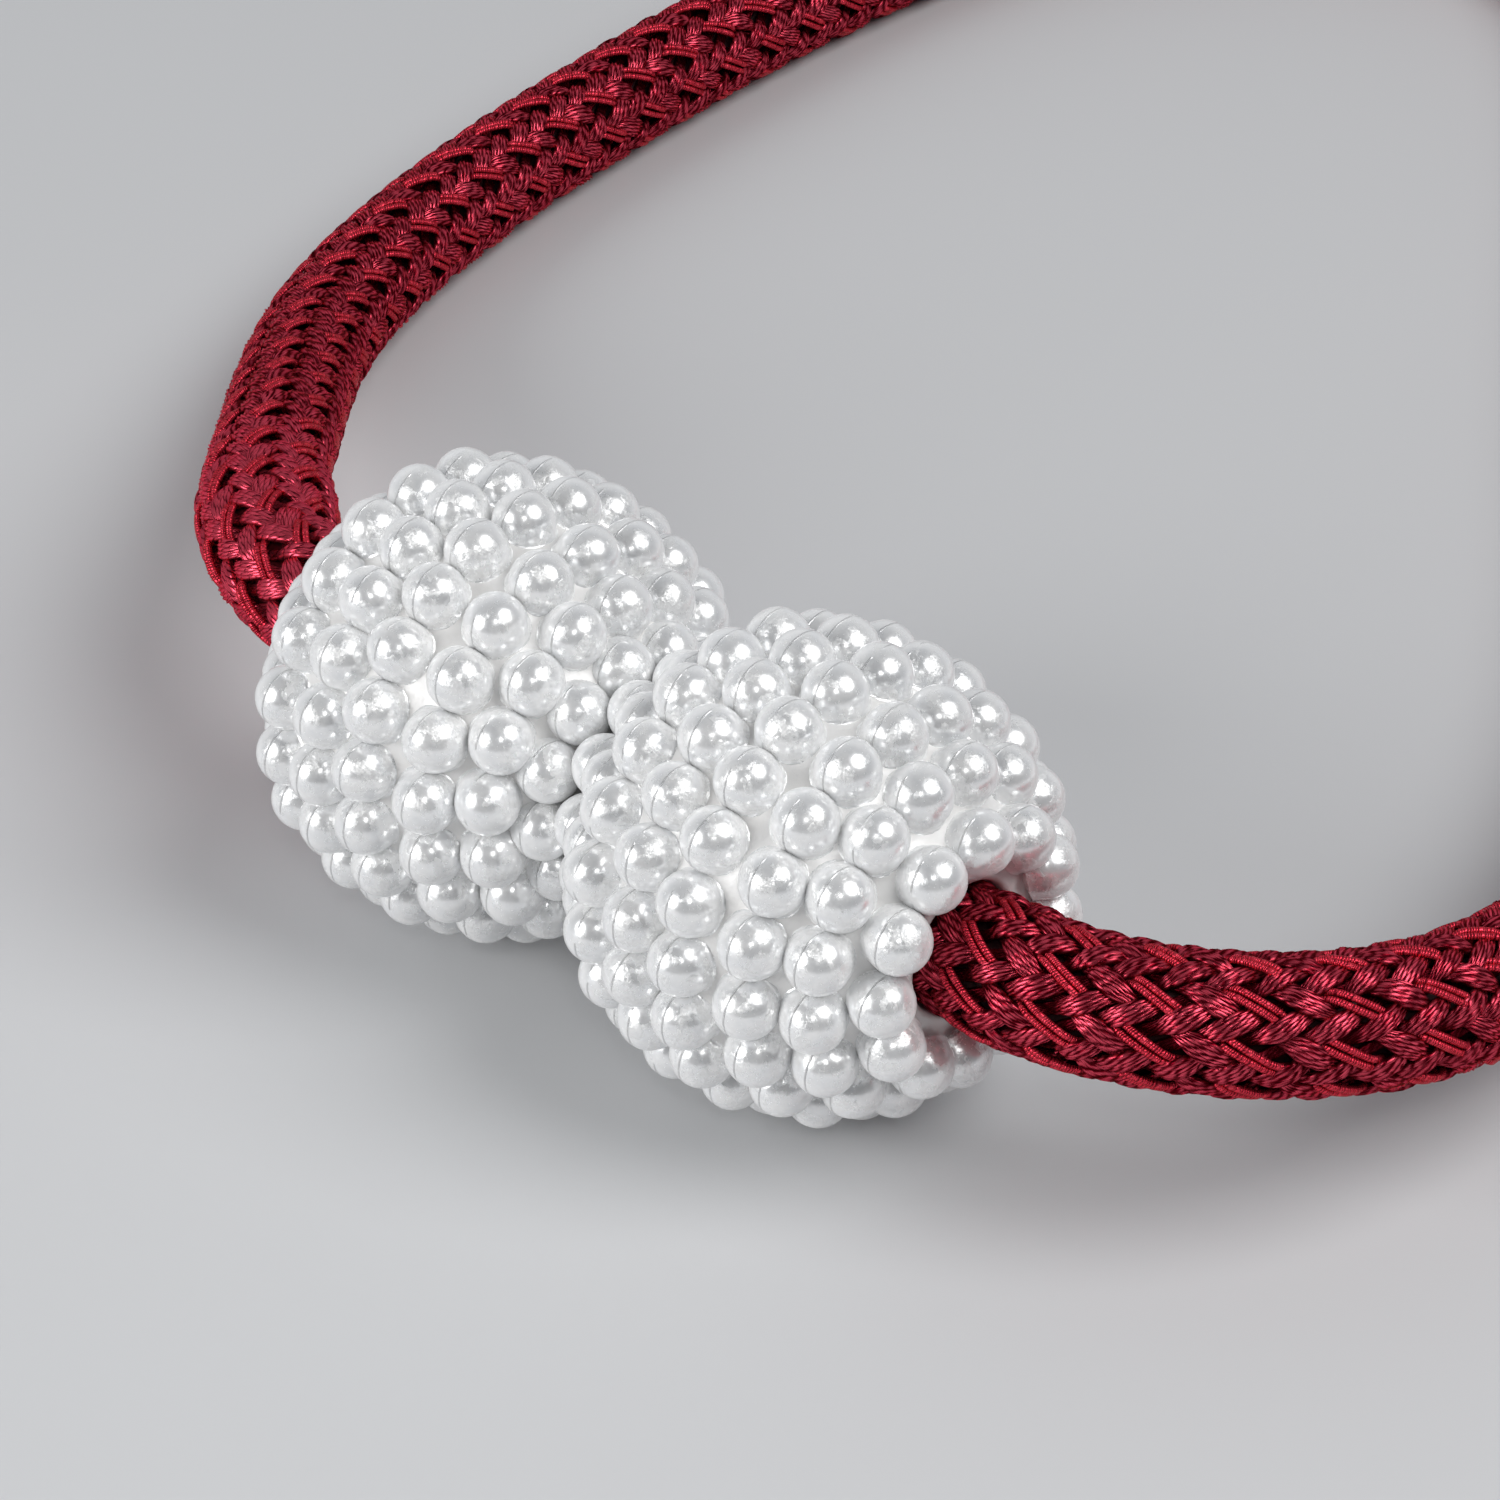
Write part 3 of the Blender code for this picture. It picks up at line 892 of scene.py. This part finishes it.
def core_material():
    m = Nodes("cord_inside")
    place = m.node("ShaderNodeTexCoord").outputs["Object"]
    n = m.noise(place, 2200.0, 3.0)
    # painted shade: coloured near black for the shade inside the braid
    colour = m.mix(m.between(n, 0.3, 0.7), rgb(0.013, 0.0004, 0.0012), rgb(0.040, 0.0011, 0.0036))
    # painted light: by the left ball the core is painted a lighter red, so the bend's openings look lit
    painted_bend_light = m.math("MULTIPLY", m.attribute("bend_painted_light").outputs["Fac"], 0.9)
    colour = m.mix(painted_bend_light, colour, m.mix(m.between(n, 0.3, 0.7), rgb(0.110, 0.0018, 0.0070), rgb(0.260, 0.0070, 0.0210)))
    m.set(Base_Color=colour)
    m.set(Roughness=0.8, Normal=m.bump(n, 0.8, 0.1 * MM))
    return m.mat


def pearl_material():
    m = Nodes("pearl_beads")
    where = m.attribute("on_bead").outputs["Vector"]
    number = m.attribute("bead_number").outputs["Fac"]
    shift = m.node("ShaderNodeCombineXYZ", {0: m.math("MULTIPLY", number, 91.0), 1: m.math("MULTIPLY", number, 47.0),
                                            2: m.math("MULTIPLY", number, 13.0)}).outputs[0]
    own = m.vmath("ADD", where, shift)
    cloud = m.noise(own, 1.6, 3.0, 0.6)
    speck = m.noise(own, 9.0, 4.0, 0.65)
    flake = m.voronoi(own, 11.0)
    # worn and flaky patches: more of them on some beads
    patch = m.between(m.math("ADD", m.noise(own, 2.1, 2.0), m.math("MULTIPLY", number, 0.10)), 0.55, 0.70)
    # mould seam: a raised line round each bead, across the ball's axis
    across = m.node("ShaderNodeSeparateXYZ", {0: where}).outputs[0]
    across = m.math("ADD", across, m.math("MULTIPLY", m.math("SUBTRACT", m.noise(own, 1.3, 1.0), 0.5), 0.05))
    seam = m.between(m.math("ABSOLUTE", across), 0.040, 0.0)
    seam_part = m.between(m.noise(own, 1.1, 1.0), 0.36, 0.46)
    seam = m.math("MULTIPLY", seam, seam_part)
    white = m.mix(m.between(cloud, 0.3, 0.7), rgb(0.91, 0.92, 0.93), rgb(0.96, 0.96, 0.955))
    white = m.mix(m.math("MULTIPLY", patch, 0.5), white, rgb(0.92, 0.92, 0.91))
    m.set(Base_Color=white)
    # the pearl layer mirrors most face on and lets the white plastic show at the rims
    facing = m.node("ShaderNodeLayerWeight", {"Blend": 0.5}).outputs["Facing"]
    gloss = m.math("MULTIPLY", m.between(facing, 0.18, 0.66, 1.0, 0.03), m.between(cloud, 0.2, 0.8, 0.60, 0.42, smooth=False))
    m.set(Metallic=gloss)
    rough = m.between(speck, 0.35, 0.75, 0.20, 0.30, smooth=False)
    m.set(Roughness=m.math("ADD", rough, m.math("MULTIPLY", patch, 0.12)))
    m.bsdf.inputs["Coat Weight"].default_value = 0.60
    m.bsdf.inputs["Coat Roughness"].default_value = 0.15
    m.bsdf.inputs["Coat IOR"].default_value = 1.6
    m.bsdf.inputs["Sheen Weight"].default_value = 0.60
    m.bsdf.inputs["Sheen Roughness"].default_value = 0.38
    m.bsdf.inputs["Subsurface Weight"].default_value = 0.0
    m.bsdf.inputs["Subsurface Radius"].default_value = (1.0, 0.95, 0.9)
    m.bsdf.inputs["Subsurface Scale"].default_value = 0.9 * MM
    # one relief: seam 0.09 mm high, fine roughness and flakes where the coat is worn
    relief = m.math("MULTIPLY", m.between(speck, 0.4, 0.8), m.math("ADD", m.math("MULTIPLY", patch, 0.30), 0.02))
    relief = m.math("ADD", relief, m.math("MULTIPLY", m.math("MULTIPLY", flake, patch), 0.22))
    m.set(Normal=m.bump(m.math("ADD", m.math("MULTIPLY", seam, 1.25), relief), 1.0, 0.10 * MM))
    return m.mat


def body_material():
    m = Nodes("ball_body")
    place = m.node("ShaderNodeTexCoord").outputs["Object"]
    cloud = m.noise(place, 260.0, 3.0)
    grain = m.noise(place, 1900.0, 3.0)
    m.set(Base_Color=m.mix(m.between(cloud, 0.3, 0.7), rgb(0.80, 0.79, 0.775), rgb(0.865, 0.86, 0.85)))
    m.set(Roughness=m.between(grain, 0.3, 0.7, 0.28, 0.40, smooth=False), Metallic=0.10)
    m.bsdf.inputs["Coat Weight"].default_value = 0.2
    m.bsdf.inputs["Coat Roughness"].default_value = 0.15
    m.set(Normal=m.bump(grain, 0.5, 0.05 * MM))
    return m.mat


silk, gimp_mat, core_mat = silk_material(), gimp_material(), core_material()
pearl, body_mat = pearl_material(), body_material()
for obj, mat in ((core, core_mat), (silk_a, silk), (silk_b1, silk), (silk_b2, silk), (gimp, gimp_mat),
                 (beads_left, pearl), (beads_right, pearl), (body_left, body_mat), (body_right, body_mat)):
    obj.data.materials.append(mat)


# ================================================================ frame =====

for obj in (core, silk_a, silk_b1, silk_b2, gimp):
    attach(obj, "root")
    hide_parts("cord")
for obj, node in ((beads_left, "ball_left"), (body_left, "ball_left"),
                  (beads_right, "ball_right"), (body_right, "ball_right")):
    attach(obj, "root")
    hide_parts(node)


# ================================================================ studio ====

def floor():
    bpy.ops.mesh.primitive_plane_add(size=6.0, location=(0.0, 0.0, -0.00005))
    obj = bpy.context.active_object
    obj.name = "floor"
    m = Nodes("pale_floor")
    place = m.node("ShaderNodeTexCoord").outputs["Object"]
    n = m.noise(place, 2.5, 3.0)
    m.set(Base_Color=m.mix(m.between(n, 0.3, 0.7), rgb(0.66, 0.665, 0.675), rgb(0.69, 0.695, 0.705)))
    m.set(Roughness=0.75)
    obj.data.materials.append(m.mat)
    return obj


def softbox(name, direction, distance, size, power, colour=(1.0, 1.0, 1.0), shape="DISK"):
    light = bpy.data.lights.new(name, "AREA")
    light.shape = shape
    light.size = size
    light.energy = power
    light.color = colour
    obj = bpy.data.objects.new(name, light)
    bpy.context.scene.collection.objects.link(obj)
    direction = Vector(direction).normalized()
    obj.location = Vector((0.0, 0.0, AXIS_Z)) + direction * distance
    obj.rotation_euler = direction.to_track_quat("Z", "Y").to_euler()
    return obj


def camera_side(x, y, z):
    """A direction given as seen from the camera: right, up, towards it."""
    return x * cam_right + y * cam_up + z * cam_back


floor()
softbox("softbox_right", camera_side(0.565, 0.492, 0.660), 0.95, 0.72, 5.3)
softbox("softbox_left", camera_side(-0.841, 0.088, 0.535), 0.95, 0.58, 5.0)
softbox("small_front", camera_side(0.02, 0.14, 0.99), 0.95, 0.12, 0.55)

world = bpy.data.worlds.new("studio")
bpy.context.scene.world = world
world.use_nodes = True
world.node_tree.nodes["Background"].inputs["Color"].default_value = (0.92, 0.95, 1.0, 1.0)
backdrop = world.node_tree.nodes["Background"]
place = world.node_tree.nodes.new("ShaderNodeTexCoord")
facing = world.node_tree.nodes.new("ShaderNodeVectorMath")
facing.operation = "DOT_PRODUCT"
facing.inputs[1].default_value = tuple(cam_back)
fall = world.node_tree.nodes.new("ShaderNodeMapRange")
fall.interpolation_type = "SMOOTHSTEP"
for socket, value in (("From Min", -0.5), ("From Max", 0.9), ("To Min", 0.42), ("To Max", 0.12)):
    fall.inputs[socket].default_value = value
world.node_tree.links.new(place.outputs["Generated"], facing.inputs[0])
world.node_tree.links.new(facing.outputs["Value"], fall.inputs["Value"])
world.node_tree.links.new(fall.outputs["Result"], backdrop.inputs["Strength"])

bpy.context.scene.view_settings.view_transform = "Standard"
bpy.context.scene.view_settings.look = "None"
